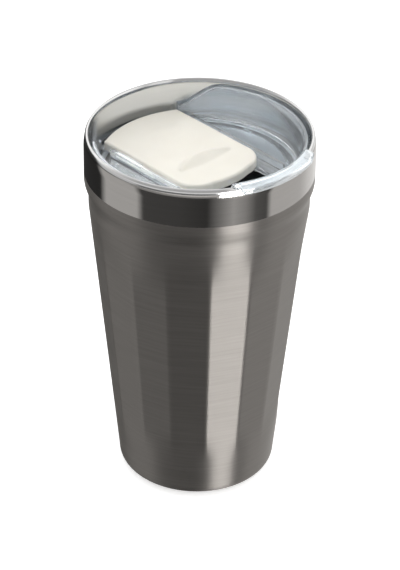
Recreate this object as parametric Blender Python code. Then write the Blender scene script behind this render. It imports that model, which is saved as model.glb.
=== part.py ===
# Insulated travel mug: a double-walled steel tumbler with a clear plug-in lid and a sliding cover.
# Metres, +Z up. The origin is the middle of the foot, and the drinking lip faces -Y.

import math

import bmesh
import bpy

# Driving dimensions of the steel vessel
RIM_HEIGHT = 0.150
RIM_RADIUS = 0.0445
RIM_BEAD_WIDTH = 0.0023
RIM_BEAD_HEIGHT = 0.0018
SHEET = 0.0006
COLLAR_HEIGHT = 0.0170
SHOULDER_DROP = 0.0135
SHOULDER_INSET = 0.0017
BASE_RADIUS = 0.0312
BASE_FILLET = 0.0050
BASE_FILLET_TURN = math.radians(80.0)
FACET_COUNT = 16
FACET_TURN = math.radians(7.7)
FACET_TOP_GAP = 0.0100
FACET_FADE = 0.0180
FACET_BOTTOM = 0.0120

# Inner liner and the evacuated space
LINER_SEAT_DROP = 0.0250
LINER_TOP_SPACE = 0.0022
LINER_BASE_SPACE = 0.0020
LINER_FLOOR_HEIGHT = 0.0090
LINER_FILLET = 0.0060
FOIL_THICKNESS = 0.00025
FOIL_BOTTOM_GAP = 0.0080
FOIL_TOP_GAP = 0.0070

# Base cap, exhaust port and getter
FOOT_WIDTH = 0.0050
FOOT_DEPTH = 0.0016
PORT_RADIUS = 0.0009
PORT_CUP_RADIUS = 0.0040
PORT_CUP_DEPTH = 0.0014
BEAD_HEIGHT = 0.0012
COVER_THICKNESS = 0.0006
GETTER_RADIUS = 0.0045
GETTER_HEIGHT = 0.0020
CLIP_SHEET = 0.0004
CLIP_WIDTH = 0.0040
CLIP_FOOT = 0.0016

# Clear lid
FLOOR_DROP = 0.0150
FLOOR_THICKNESS = 0.0020
LID_CLEARANCE = 0.0005
SKIRT_DEPTH = 0.0095
SKIRT_WALL = 0.0025
GROOVE_DEPTH = 0.0030
FLANGE_HEIGHT = 0.0018
WALL_THICKNESS = 0.0017
WALL_FOOT_FILLET = 0.0026
WALL_START_HEIGHT = 0.0048
WALL_TOP_DROP = 0.0022
WALL_START_ANGLE = math.radians(31.0)
WALL_FULL_ANGLE = math.radians(55.0)
LIP_HALF_ANGLE = math.radians(26.5)
LIP_END_TURN = math.radians(4.8)
LIP_FOOT_INSET = 0.0092
LIP_CREST_INSET = 0.0039
LIP_RISE = 0.0017
LIP_OVERHANG = 0.0016
LIP_HOOK = 0.0024
LIP_WALL = 0.0010
RAIL_WIDTH = 0.0020
RAIL_SET_BACK = 0.0008
RAIL_STEP_PLACE = 0.0110
RAIL_BACK_INSET = 0.0040
RAIL_GROOVE_DEPTH = 0.0012
RAIL_GROOVE_HEIGHT = 0.0016
RAIL_GROOVE_LIFT = 0.0008
PORT_HALF_WIDTH = 0.0160
PORT_LENGTH = 0.0155
PORT_FRONT_INSET = 0.0027
PORT_CORNER = 0.0015

# Lid gasket
GASKET_RIB_COUNT = 2
GASKET_WEB = 0.0013

# Sliding cover
SLIDER_HALF_WIDTH = 0.0193
SLIDER_THICKNESS = 0.0037
SLIDER_BACK_INSET = 0.0021
SLIDER_FRONT_SPACE = 0.0007
SLIDER_BACK_CORNER = 0.0014
SLIDER_FRONT_CORNER = 0.0100
SLIDER_EDGE = 0.0008
TONGUE_LENGTH = 0.0220
TONGUE_BACK_INSET = 0.0032
SCOOP_CENTRE = 0.0125
SCOOP_RADIUS = 0.0115
SCOOP_DEPTH = 0.0013
RIDGE_HALF_WIDTH = 0.0132
RIDGE_BACK = 0.0004
RIDGE_BOW = 0.0042
RIDGE_DEPTH = 0.0062
RIDGE_HEIGHT = 0.0019
RIDGE_RISE = 0.0028

# Seal pad under the sliding cover
PAD_THICKNESS = 0.0014
PAD_MARGIN = 0.0016
PAD_EDGE = 0.0010
SLIDER_TRAVEL = 0.0120

# Fits
GAP = 0.0003
JOIN_STEP = 0.00015
STEPS_PER_FACET = 3
TURN_STEPS = FACET_COUNT * STEPS_PER_FACET
CUT_MARGIN = 0.0020

# Heights and radii that follow from the driving dimensions
BASE_SLOPE_TOP = RIM_HEIGHT - COLLAR_HEIGHT - SHOULDER_DROP
BODY_TOP_RADIUS = RIM_RADIUS - SHOULDER_INSET
SHELL_TOP = RIM_HEIGHT - RIM_BEAD_HEIGHT - GAP
LINER_MOUTH_RADIUS = RIM_RADIUS - RIM_BEAD_WIDTH
LINER_SEAT_RADIUS = BODY_TOP_RADIUS - LINER_TOP_SPACE
LINER_FLOOR_RADIUS = BASE_RADIUS - LINER_BASE_SPACE
SEAT_HEIGHT = RIM_HEIGHT - LINER_SEAT_DROP
LINER_TAPER_FOOT = LINER_FLOOR_HEIGHT + LINER_FILLET
FOOT_OUTER = BASE_RADIUS - BASE_FILLET * (1.0 - math.cos(BASE_FILLET_TURN)) - SHEET * 0.2
GETTER_OFFSET = (PORT_CUP_RADIUS + FOOT_OUTER - FOOT_WIDTH - FOOT_DEPTH) / 2
FLOOR_TOP = RIM_HEIGHT - FLOOR_DROP
FLOOR_BOTTOM = FLOOR_TOP - FLOOR_THICKNESS
SKIRT_BOTTOM = FLOOR_BOTTOM - SKIRT_DEPTH
WALL_TOP = RIM_HEIGHT - WALL_TOP_DROP
FLOOR_SHARE = (FLOOR_TOP - SEAT_HEIGHT) / LINER_SEAT_DROP
FLOOR_LINER_RADIUS = LINER_SEAT_RADIUS + FLOOR_SHARE * (LINER_MOUTH_RADIUS - LINER_SEAT_RADIUS)
FLOOR_RADIUS = FLOOR_LINER_RADIUS - LID_CLEARANCE
LIP_FOOT_RADIUS = FLOOR_RADIUS - LIP_FOOT_INSET
LIP_CREST_RADIUS = RIM_RADIUS - LIP_CREST_INSET
PORT_FRONT_RADIUS = LIP_FOOT_RADIUS - PORT_FRONT_INSET
PORT_BACK = PORT_FRONT_RADIUS - PORT_LENGTH
SLIDER_BOTTOM = FLOOR_TOP + GAP
SLIDER_TOP = SLIDER_BOTTOM + SLIDER_THICKNESS
SLIDER_BACK_RADIUS = FLOOR_RADIUS - SLIDER_BACK_INSET
SLIDER_FRONT = LIP_FOOT_RADIUS - SLIDER_TRAVEL - SLIDER_FRONT_SPACE
SLIDER_FRONT_RADIUS = PORT_FRONT_RADIUS
RAIL_INNER = SLIDER_HALF_WIDTH + GAP
RAIL_OUTER = RAIL_INNER + RAIL_WIDTH
RAIL_TOP = SLIDER_TOP - RAIL_GROOVE_LIFT
RAIL_BACK = math.sqrt(SLIDER_BACK_RADIUS ** 2 - RAIL_OUTER ** 2) - RAIL_BACK_INSET
GROOVE_BOTTOM = FLOOR_TOP + RAIL_GROOVE_LIFT
TONGUE_BACK = RAIL_BACK - TONGUE_BACK_INSET


def clear_scene():
    for old in list(bpy.data.objects):
        bpy.data.objects.remove(old)


def material(name, colour, metallic, roughness, alpha=1.0):
    made = bpy.data.materials.new(name)
    made.use_nodes = True
    shader = made.node_tree.nodes["Principled BSDF"]
    shader.inputs["Base Color"].default_value = (*colour, 1.0)
    shader.inputs["Metallic"].default_value = metallic
    shader.inputs["Roughness"].default_value = roughness
    shader.inputs["Alpha"].default_value = alpha
    return made


def finish(mesh_data, name, look, sharp=35.0):
    """Turns a bmesh into a named object with its faces pointing out."""
    bmesh.ops.remove_doubles(mesh_data, verts=mesh_data.verts, dist=1e-6)
    bmesh.ops.recalc_face_normals(mesh_data, faces=mesh_data.faces)
    mesh = bpy.data.meshes.new(name)
    mesh_data.to_mesh(mesh)
    mesh_data.free()
    mesh.shade_smooth()
    mesh.set_sharp_from_angle(angle=math.radians(sharp))
    made = bpy.data.objects.new(name, mesh)
    bpy.context.scene.collection.objects.link(made)
    if look is not None:
        mesh.materials.append(look)
    return made


def turned(name, section, look, steps=TURN_STEPS, reshape=None, sharp=35.0):
    """Spins a section of (radius, height) points about Z. A section that starts and ends on the axis
    is a solid, and any other is closed into a ring."""
    made = bmesh.new()
    points = [made.verts.new((radius, 0.0, height)) for radius, height in section]
    edges = [made.edges.new(pair) for pair in zip(points, points[1:])]
    if section[0][0] > 0.0:
        edges.append(made.edges.new((points[-1], points[0])))
    bmesh.ops.spin(made, geom=points + edges, cent=(0, 0, 0), axis=(0, 0, 1),
                   angle=math.tau, steps=steps, use_merge=True)
    if reshape is not None:
        for vert in made.verts:
            vert.co = reshape(vert.co)
    return finish(made, name, look, sharp)


def swept(name, sections, look):
    """Bridges a row of equal closed loops of 3D points and caps both ends."""
    made = bmesh.new()
    loops = [[made.verts.new(point) for point in section] for section in sections]
    for first, second in zip(loops, loops[1:]):
        for i in range(len(first)):
            j = (i + 1) % len(first)
            made.faces.new((first[i], first[j], second[j], second[i]))
    made.faces.new(loops[0])
    made.faces.new(loops[-1])
    return finish(made, name, look)


def prism(name, outline, low, high, look):
    """Extrudes a closed (x, y) outline from one height to another."""
    return swept(name, [[(x, y, z) for x, y in outline] for z in (low, high)], look)


def box(name, low, high, look=None):
    outline = [(low[0], low[1]), (high[0], low[1]), (high[0], high[1]), (low[0], high[1])]
    return prism(name, outline, low[2], high[2], look)


def boolean(target, tool, operation):
    """Adds a Boolean and hides its tool, which is only a helper."""
    step = target.modifiers.new(tool.name, "BOOLEAN")
    step.operation = operation
    step.object = tool
    tool.hide_render = True
    tool.display_type = "WIRE"


def smoothstep(value):
    value = min(max(value, 0.0), 1.0)
    return value * value * (3.0 - 2.0 * value)


def arc(centre, radius, start, end, count):
    """Points on an arc, in degrees, both ends included."""
    angles = [math.radians(start + (end - start) * i / count) for i in range(count + 1)]
    return [(centre[0] + radius * math.cos(a), centre[1] + radius * math.sin(a)) for a in angles]


def liner_radius(height):
    """Inside radius of the liner, which widens upwards and opens further above the lid's seat."""
    if height >= SEAT_HEIGHT:
        share = (height - SEAT_HEIGHT) / (RIM_HEIGHT - SEAT_HEIGHT)
        return LINER_SEAT_RADIUS + share * (LINER_MOUTH_RADIUS - LINER_SEAT_RADIUS)
    share = (height - LINER_TAPER_FOOT) / (SEAT_HEIGHT - LINER_TAPER_FOOT)
    return LINER_FLOOR_RADIUS + share * (LINER_SEAT_RADIUS - LINER_FLOOR_RADIUS)


def body_radius(height):
    """Outside radius of the round body under the shoulder, before the facets are pressed in."""
    share = (height - BASE_FILLET) / (BASE_SLOPE_TOP - BASE_FILLET)
    return BASE_RADIUS + share * (BODY_TOP_RADIUS - BASE_RADIUS)


def facet_weight(height):
    """How fully the facets are pressed in at a height: round at the shoulder and at the base."""
    top = smoothstep((BASE_SLOPE_TOP + FACET_TOP_GAP - height) / FACET_FADE - 0.4)
    foot = smoothstep((height - FACET_BOTTOM) / FACET_FADE)
    return top * foot


def faceted(point):
    """Presses flat facets into the round body, with their corners left on the circle."""
    pitch = math.tau / FACET_COUNT
    angle = math.atan2(point.y, point.x)
    local = (angle - FACET_TURN) % pitch - pitch / 2
    flat = math.cos(pitch / 2) / math.cos(local)
    share = 1.0 - facet_weight(point.z) * (1.0 - flat)
    return (point.x * share, point.y * share, point.z)


def turned_by_facets(point):
    """Turns the spun steps so that every facet's corner falls on one of them."""
    cos, sin = math.cos(FACET_TURN), math.sin(FACET_TURN)
    point.x, point.y = point.x * cos - point.y * sin, point.x * sin + point.y * cos
    return faceted(point)


def outer_section():
    """Outline of the outer shell from the collar's top to the foot, as (radius, height)."""
    collar_foot = RIM_HEIGHT - COLLAR_HEIGHT
    shoulder = [
        (RIM_RADIUS - SHOULDER_INSET * smoothstep(i / 4) * 0.9 - SHOULDER_INSET * 0.1 * i / 4,
         collar_foot - SHOULDER_DROP * i / 4)
        for i in range(5)
    ]
    heights = [BASE_SLOPE_TOP - FACET_FADE * share for share in (0.25, 0.5, 0.8)]
    heights += [FACET_BOTTOM + FACET_FADE * share for share in (2.4, 1.0, 0.7, 0.4, 0.1)]
    body = [(body_radius(height), height) for height in heights]
    fillet = arc((BASE_RADIUS - BASE_FILLET, BASE_FILLET), BASE_FILLET, 0.0,
                 -math.degrees(BASE_FILLET_TURN), 4)
    return [(RIM_RADIUS, SHELL_TOP)] + shoulder + body + fillet


def inset_section(section, distance):
    """Moves an open outline of (radius, height) points inwards, square to its own run."""
    moved = []
    for i, (radius, height) in enumerate(section):
        before = section[max(i - 1, 0)]
        after = section[min(i + 1, len(section) - 1)]
        run = (after[0] - before[0], after[1] - before[1])
        length = math.hypot(*run)
        moved.append((radius + distance * run[1] / length, height - distance * run[0] / length))
    return moved


def make_outer_shell(look):
    outer = outer_section()
    inner = inset_section(outer, SHEET)
    return turned("outer_shell", outer + inner[::-1], look, reshape=turned_by_facets, sharp=21.0)


def make_inner_liner(look):
    bead_middle = RIM_RADIUS - RIM_BEAD_WIDTH / 2
    bead_foot = RIM_HEIGHT - RIM_BEAD_HEIGHT
    bead_round = RIM_BEAD_WIDTH / 2
    bead_centre = (bead_middle, RIM_HEIGHT - bead_round)
    inner_fillet = arc((LINER_FLOOR_RADIUS - LINER_FILLET, LINER_TAPER_FOOT), LINER_FILLET, 0.0, -90.0, 4)
    outer_fillet = arc((LINER_FLOOR_RADIUS - LINER_FILLET, LINER_TAPER_FOOT),
                       LINER_FILLET + SHEET, -90.0, 0.0, 4)
    section = [(0.0, LINER_FLOOR_HEIGHT)] + inner_fillet[::-1]
    section += [(LINER_SEAT_RADIUS, SEAT_HEIGHT)]
    section += arc(bead_centre, bead_round, 180.0, 0.0, 6) + [(RIM_RADIUS, bead_foot)]
    section += [(liner_radius(bead_foot) + SHEET, bead_foot), (LINER_SEAT_RADIUS + SHEET, SEAT_HEIGHT)]
    section += outer_fillet[::-1] + [(0.0, LINER_FLOOR_HEIGHT - SHEET)]
    return turned("inner_liner", section, look)


def make_copper_foil(look):
    low = LINER_TAPER_FOOT + FOIL_BOTTOM_GAP
    high = SEAT_HEIGHT - FOIL_TOP_GAP
    inner = [(liner_radius(height) + SHEET + GAP, height) for height in (low, high)]
    outer = [(radius + FOIL_THICKNESS, height) for radius, height in inner]
    return turned("copper_foil", inner + outer[::-1], look)


def make_base_cap(look):
    foot_inner = FOOT_OUTER - FOOT_WIDTH
    rise = FOOT_DEPTH
    cup = PORT_CUP_RADIUS
    under = [(PORT_RADIUS, rise + PORT_CUP_DEPTH), (cup - PORT_CUP_DEPTH, rise + PORT_CUP_DEPTH),
             (cup, rise), (foot_inner - rise, rise), (foot_inner, 0.0),
             (FOOT_OUTER - SHEET - GAP, 0.0), (FOOT_OUTER - GAP, SHEET)]
    over = [(radius, height + SHEET) for radius, height in under[:-2]]
    top_edge = [(FOOT_OUTER - SHEET - GAP, SHEET * 2.0)]
    return turned("base_cap", under + top_edge + over[::-1], look)


def make_exhaust_seal(look):
    """Bead of solder glass that closes the exhaust port in its cup."""
    top = FOOT_DEPTH + PORT_CUP_DEPTH - GAP
    radius = PORT_CUP_RADIUS - PORT_CUP_DEPTH - GAP
    return turned("exhaust_seal_bead", [(0.0, top), (radius, top), (radius * 0.8, top - BEAD_HEIGHT * 0.7),
                                        (0.0, top - BEAD_HEIGHT)], look, steps=16)


def make_base_cover(look):
    radius = FOOT_OUTER - FOOT_WIDTH - FOOT_DEPTH - GAP
    top = FOOT_DEPTH - GAP
    return turned("base_cover_disc", [(0.0, top), (radius, top), (radius, top - COVER_THICKNESS),
                                      (0.0, top - COVER_THICKNESS)], look)


def make_getter(look):
    low = FOOT_DEPTH + SHEET + GAP
    made = turned("getter_pellet", [(0.0, low + GETTER_HEIGHT), (GETTER_RADIUS, low + GETTER_HEIGHT),
                                    (GETTER_RADIUS, low), (0.0, low)], look, steps=20)
    made.location.x = GETTER_OFFSET
    return made


def make_getter_clip(look):
    """Bent strap that holds the getter pellet down on the base cap."""
    low = FOOT_DEPTH + SHEET + GAP
    inner = GETTER_RADIUS + GAP
    over = low + GETTER_HEIGHT + GAP
    outer = inner + CLIP_SHEET
    half = [(inner + CLIP_FOOT, low), (inner + CLIP_FOOT, low + CLIP_SHEET), (outer, low + CLIP_SHEET),
            (outer, over + CLIP_SHEET)]
    under = [(inner, over), (inner, low)]
    outline = half + [(-x, z) for x, z in half[::-1]]
    outline += [(-x, z) for x, z in under[::-1]] + under
    sections = [[(GETTER_OFFSET + x, y, z) for x, z in outline] for y in (-CLIP_WIDTH / 2, CLIP_WIDTH / 2)]
    return swept("getter_clip", sections, look)


def lid_radius(height):
    """Outside radius of the lid where it passes down inside the liner."""
    return liner_radius(height) - LID_CLEARANCE


def groove_heights():
    return SKIRT_BOTTOM + FLANGE_HEIGHT, FLOOR_BOTTOM - FLANGE_HEIGHT


def make_plug():
    """Lid floor with its skirt and the groove for the gasket."""
    low, high = groove_heights()
    groove = lid_radius(low) - GROOVE_DEPTH
    inner = groove - SKIRT_WALL
    section = [(0.0, FLOOR_TOP), (lid_radius(FLOOR_TOP), FLOOR_TOP), (lid_radius(high), high), (groove, high),
               (groove, low), (lid_radius(low) - LID_CLEARANCE, low),
               (lid_radius(SKIRT_BOTTOM) - LID_CLEARANCE, SKIRT_BOTTOM), (inner, SKIRT_BOTTOM),
               (inner, FLOOR_BOTTOM), (0.0, FLOOR_BOTTOM)]
    return section


def polar(radius, angle, height):
    """A point at an angle from the back of the mug (+Y), positive towards +X."""
    return (radius * math.sin(angle), radius * math.cos(angle), height)


def wall_section(angle):
    """Closed section of the lid's side wall, which is low beside the cover's back and rises to the front."""
    share = smoothstep((abs(angle) - WALL_START_ANGLE) / (WALL_FULL_ANGLE - WALL_START_ANGLE))
    sunk = FLOOR_TOP - FLOOR_THICKNESS / 2
    low_top = FLOOR_TOP + WALL_START_HEIGHT
    top = low_top + share * (WALL_TOP - low_top)
    fillet = WALL_FOOT_FILLET * (0.3 + 0.7 * share)
    inside = 2.0 * JOIN_STEP
    foot = lid_radius(FLOOR_TOP) - WALL_THICKNESS
    section = [(lid_radius(sunk) - inside, sunk), (lid_radius(top) - inside, top),
               (lid_radius(top) - WALL_THICKNESS, top)]
    bend = FLOOR_TOP + fillet + JOIN_STEP
    for step in range(4):
        turn = math.radians(30.0 * step)
        rise = min(bend - fillet * math.sin(turn), top - fillet * 0.02 * (step + 1))
        section.append((foot - fillet * (1.0 - math.cos(turn)), rise))
    section.append((foot - fillet, sunk))
    return [polar(radius, angle, height) for radius, height in section]


def make_wall(side):
    """One side wall of the lid, from the back round to under the drinking lip."""
    end = math.pi - LIP_HALF_ANGLE * 0.75
    count = 22
    angles = [WALL_START_ANGLE + (end - WALL_START_ANGLE) * i / count for i in range(count + 1)]
    name = "wall_tool_" + ("right" if side > 0 else "left")
    return swept(name, [wall_section(side * a) for a in angles], None)


def lip_section(angle):
    """Closed section of the drinking lip: up a ramp from the floor, over the rim and down outside it.
    Towards each end the lip draws in over the rim and its hook runs out."""
    inside = min(max((LIP_HALF_ANGLE - abs(math.pi - angle)) / LIP_END_TURN, 0.0), 1.0)
    reach = math.sqrt(1.0 - (1.0 - min(2.0 * inside, 1.0)) ** 2)
    hook = smoothstep(1.5 * inside - 0.5)
    sunk = FLOOR_TOP - FLOOR_THICKNESS / 2
    over = RIM_HEIGHT + GAP
    outside = RIM_RADIUS + GAP
    drawn_in = RIM_RADIUS - RIM_BEAD_WIDTH / 2
    edge = drawn_in + reach * (outside + LIP_OVERHANG - drawn_in)
    width = edge - LIP_CREST_RADIUS
    crest = RIM_HEIGHT + LIP_RISE * (0.6 + 0.4 * reach)
    tip = over - hook * (GAP + LIP_HOOK)
    side = over + (1.0 - hook) * 0.35 * (crest - over) - hook * (GAP + LIP_HOOK * 0.3)
    side_foot = over + (1.0 - hook) * 0.12 * (crest - over) - hook * (GAP + LIP_HOOK * 0.85)
    back = lid_radius(WALL_TOP) - JOIN_STEP
    section = [(LIP_FOOT_RADIUS - FLOOR_THICKNESS / 4, sunk), (LIP_FOOT_RADIUS, FLOOR_TOP)]
    section += [(LIP_CREST_RADIUS, RIM_HEIGHT - LIP_RISE * 0.4)]
    section += [(LIP_CREST_RADIUS + width * 0.22, crest - LIP_WALL * 0.8)]
    section += [(LIP_CREST_RADIUS + width * 0.45, crest), (LIP_CREST_RADIUS + width * 0.66, crest)]
    section += [(edge - width * 0.08, crest - LIP_WALL * 0.6), (edge, side), (edge, side_foot)]
    section += [(edge - width * 0.08, tip), (min(outside, edge - width * 0.14), tip)]
    section += [(min(outside, edge - width * 0.20), over - hook * RIM_BEAD_WIDTH * 0.3)]
    section += [(min(RIM_RADIUS - RIM_BEAD_WIDTH * 0.3, edge - width * 0.30), over)]
    section += [(min(RIM_RADIUS - RIM_BEAD_WIDTH * 0.7, edge - width * 0.42), over)]
    section += [(back, RIM_HEIGHT - RIM_BEAD_HEIGHT * 0.5), (back, WALL_TOP)]
    section += [(lid_radius(sunk) - JOIN_STEP, sunk)]
    return [polar(radius, angle, height) for radius, height in section]


def make_lip():
    end_steps, middle_steps = 6, 8
    middle = LIP_HALF_ANGLE - LIP_END_TURN
    first = [middle + LIP_END_TURN * (1.0 - (i / end_steps) ** 1.6) for i in range(end_steps)]
    across = [middle * (1.0 - 2.0 * i / middle_steps) for i in range(middle_steps + 1)]
    turns = first + across + [-turn for turn in first[::-1]]
    return swept("lip_tool", [lip_section(math.pi - turn) for turn in turns], None)


def make_rail(side):
    """Low rail beside the sliding cover, round behind and set back in front, where the cover runs clear."""
    front = -math.sqrt(LIP_FOOT_RADIUS ** 2 - RAIL_OUTER ** 2) - WALL_THICKNESS
    shy = RAIL_INNER + RAIL_SET_BACK
    half = RAIL_WIDTH / 2
    outline = [(RAIL_OUTER, front)] + arc((RAIL_INNER + half, RAIL_BACK - half), half, 0.0, 180.0, 6)
    outline += [(RAIL_INNER, RAIL_STEP_PLACE), (shy, RAIL_STEP_PLACE - RAIL_SET_BACK), (shy, front)]
    outline = [(side * x, y) for x, y in outline]
    name = "rail_tool_" + ("right" if side > 0 else "left")
    return prism(name, outline, FLOOR_TOP - FLOOR_THICKNESS / 2, RAIL_TOP, None)


def make_rail_groove(side):
    low = GROOVE_BOTTOM
    reach = sorted((side * (RAIL_INNER - CUT_MARGIN), side * (RAIL_INNER + RAIL_GROOVE_DEPTH)))
    front = TONGUE_BACK - TONGUE_LENGTH - SLIDER_TRAVEL - GAP
    name = "groove_tool_" + ("right" if side > 0 else "left")
    return box(name, (reach[0], front, low), (reach[1], TONGUE_BACK + GAP, low + RAIL_GROOVE_HEIGHT))


def make_port_cutter():
    """Drinking port: square behind, and following the lip's foot in front."""
    half = PORT_HALF_WIDTH
    reach = math.degrees(math.asin(half / PORT_FRONT_RADIUS))
    front = arc((0.0, 0.0), PORT_FRONT_RADIUS, -90.0 - reach, -90.0 + reach, 8)
    corner = PORT_CORNER
    back = arc((half - corner, -PORT_BACK - corner), corner, 0.0, 90.0, 3)
    back += arc((corner - half, -PORT_BACK - corner), corner, 90.0, 180.0, 3)
    return prism("port_tool", front + back, FLOOR_BOTTOM - CUT_MARGIN, FLOOR_TOP + CUT_MARGIN, None)


def make_lid_body(look):
    lid = turned("lid_body", make_plug(), look)
    for side in (1, -1):
        boolean(lid, make_wall(side), "UNION")
        boolean(lid, make_rail(side), "UNION")
    boolean(lid, make_lip(), "UNION")
    for side in (1, -1):
        boolean(lid, make_rail_groove(side), "DIFFERENCE")
    boolean(lid, make_port_cutter(), "DIFFERENCE")
    return lid


def make_gasket(look):
    """Silicone ring with wiping ribs, seated in the skirt's groove."""
    low, high = groove_heights()
    inner = lid_radius(low) - GROOVE_DEPTH + GAP
    low, high = low + GAP, high - GAP
    web = inner + GASKET_WEB
    section = [(inner, high), (web, high)]
    pitch = (high - low) / GASKET_RIB_COUNT
    for i in range(GASKET_RIB_COUNT):
        middle = high - pitch * (i + 0.5)
        tip = liner_radius(middle) - GAP
        section += [(web, middle + pitch * 0.30), (tip, middle + pitch * 0.12), (tip, middle - pitch * 0.05),
                    (web, middle - pitch * 0.22)]
    section += [(web, low), (inner, low)]
    return turned("lid_gasket", section, look)


def slider_ends(x):
    """Back and front edges of the sliding cover at a distance x from its middle line."""
    x = abs(x)
    half = SLIDER_HALF_WIDTH

    def rounded(corner, reach):
        over = max(x - (half - corner), 0.0)
        return reach(min(x, half - corner)) - (corner - math.sqrt(max(corner ** 2 - over ** 2, 0.0)))

    back = rounded(SLIDER_BACK_CORNER, lambda a: math.sqrt(SLIDER_BACK_RADIUS ** 2 - a ** 2))
    drop = SLIDER_FRONT_RADIUS - SLIDER_FRONT
    front = rounded(SLIDER_FRONT_CORNER, lambda a: math.sqrt(SLIDER_FRONT_RADIUS ** 2 - a ** 2) - drop)
    return back, -front


def slider_relief(x, y):
    """Height of the cover's top above its flat: a thumb scoop and the bowed ridge in front of it."""
    scoop = math.hypot(x, y - SCOOP_CENTRE) / SCOOP_RADIUS
    relief = -SCOOP_DEPTH * smoothstep(1.25 - scoop)
    span = 1.0 - (x / RIDGE_HALF_WIDTH) ** 2
    if span <= 0.0:
        return relief
    back = RIDGE_BACK - RIDGE_BOW * (1.0 - span)
    behind = smoothstep((back + RIDGE_RISE - y) / RIDGE_RISE)
    ahead = smoothstep((y - back + RIDGE_DEPTH * span) / (RIDGE_DEPTH * span + GAP))
    return relief * (1.0 - behind) + RIDGE_HEIGHT * math.sqrt(span) * behind * ahead


def make_slider_plate(look):
    """Sliding cover as a plate whose top is raised and hollowed for the thumb."""
    across, along = 28, 34
    made = bmesh.new()
    edge = SLIDER_EDGE / SLIDER_HALF_WIDTH

    def spread(i, count):
        share = 2.0 * (i - 1) / (count - 2) - 1.0
        return -1.0 if i == 0 else 1.0 if i == count else share * (1.0 - edge)

    columns = []
    for i in range(across + 1):
        u = spread(i, across)
        column = []
        for j in range(along + 1):
            v = spread(j, along)
            x = SLIDER_HALF_WIDTH * u
            back, front = slider_ends(x)
            y = (back + front) / 2 + v * (back - front) / 2
            rim = i in (0, across) or j in (0, along)
            z = SLIDER_TOP - SLIDER_EDGE if rim else SLIDER_TOP + slider_relief(x, y)
            column.append(made.verts.new((x, y, z)))
        columns.append(column)
    for left, right in zip(columns, columns[1:]):
        for j in range(along):
            made.faces.new((left[j], right[j], right[j + 1], left[j + 1]))
    border = [column[0] for column in columns] + columns[-1][1:]
    border += [column[-1] for column in columns[-2::-1]] + columns[0][-2:0:-1]
    foot = [made.verts.new((vert.co.x, vert.co.y, SLIDER_BOTTOM)) for vert in border]
    for i in range(len(border)):
        j = (i + 1) % len(border)
        made.faces.new((border[i], foot[i], foot[j], border[j]))
    made.faces.new(foot)
    return finish(made, "slider_cover", look)


def pad_outline(inset):
    """Seal pad: wide enough to close the drinking port when the cover is slid forward."""
    half = PORT_HALF_WIDTH + PAD_MARGIN - inset
    back = -PORT_BACK + SLIDER_TRAVEL + PAD_MARGIN - inset
    count = 12
    across = [half * (2.0 * i / count - 1.0) for i in range(count + 1)]
    return [(half, back), (-half, back)] + [(x, slider_ends(x)[1] + PAD_EDGE + inset) for x in across]


def make_slider_cover(look):
    slider = make_slider_plate(look)
    tongue_low = GROOVE_BOTTOM + GAP
    tongue_high = GROOVE_BOTTOM + RAIL_GROOVE_HEIGHT - GAP
    reach = RAIL_INNER + RAIL_GROOVE_DEPTH - GAP
    for side in (1, -1):
        span = sorted((side * (SLIDER_HALF_WIDTH - CUT_MARGIN), side * reach))
        tongue = box("tongue_tool_" + ("right" if side > 0 else "left"),
                     (span[0], TONGUE_BACK - TONGUE_LENGTH, tongue_low), (span[1], TONGUE_BACK, tongue_high))
        boolean(slider, tongue, "UNION")
    pocket = prism("pad_pocket_tool", pad_outline(-GAP), SLIDER_BOTTOM - CUT_MARGIN,
                   SLIDER_BOTTOM + PAD_THICKNESS + GAP, None)
    boolean(slider, pocket, "DIFFERENCE")
    return slider


def make_slider_seal(look):
    return prism("slider_seal", pad_outline(0.0), SLIDER_BOTTOM, SLIDER_BOTTOM + PAD_THICKNESS, look)


def main():
    clear_scene()
    brushed = material("brushed_steel", (0.16, 0.15, 0.14), 1.0, 0.35)
    polished = material("polished_steel", (0.60, 0.58, 0.55), 1.0, 0.12)
    copper = material("copper", (0.72, 0.35, 0.20), 1.0, 0.30)
    grey = material("getter_alloy", (0.25, 0.25, 0.26), 1.0, 0.55)
    solder = material("solder_glass", (0.10, 0.10, 0.12), 0.0, 0.25)
    clear = material("clear_copolyester", (0.86, 0.91, 0.94), 0.0, 0.05, 0.35)
    silicone = material("clear_silicone", (0.82, 0.84, 0.84), 0.0, 0.45)
    cream = material("cream_plastic", (0.86, 0.83, 0.74), 0.0, 0.40)

    vessel = bpy.data.objects.new("vessel", None)
    lid = bpy.data.objects.new("lid", None)
    slider = bpy.data.objects.new("slider", None)
    for holder in (vessel, lid, slider):
        bpy.context.scene.collection.objects.link(holder)
    lid.parent = vessel
    slider.parent = lid

    steel = [make_outer_shell(brushed), make_inner_liner(polished), make_copper_foil(copper),
             make_base_cap(brushed), make_exhaust_seal(solder), make_base_cover(brushed),
             make_getter(grey), make_getter_clip(polished)]
    for piece in steel:
        piece.parent = vessel
    for piece in (make_lid_body(clear), make_gasket(silicone)):
        piece.parent = lid
    for piece in (make_slider_cover(cream), make_slider_seal(silicone)):
        piece.parent = slider


main()
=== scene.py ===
import math

import bmesh
import bpy
from mathutils import Matrix, Vector


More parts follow.
